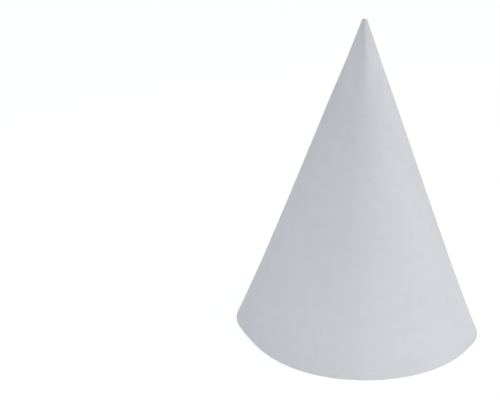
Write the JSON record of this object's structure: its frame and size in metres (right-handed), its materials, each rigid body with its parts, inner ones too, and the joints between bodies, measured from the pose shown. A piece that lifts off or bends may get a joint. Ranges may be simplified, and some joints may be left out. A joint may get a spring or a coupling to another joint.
{
  "type": "cone paper cup",
  "caption": "Disposable cone-shaped drinking cup rolled from one sheet of thin white paper, with a glued lap, a plain cut rim and a small round tip.",
  "frame": {"origin": "centre of the mouth, on the surface that the cup stands on, mouth down", "axes": "+Z from the mouth up to the tip; +Y towards the glued lap; +X to the right when the cup is seen from the side without the lap"},
  "size_m": [0.0721, 0.0722, 0.0913],
  "materials": {
    "paper": "matt, slightly fibrous"
  },
  "bodies": {
    "root": {"paper_cone": "paper"}
  },
  "joints": []
}
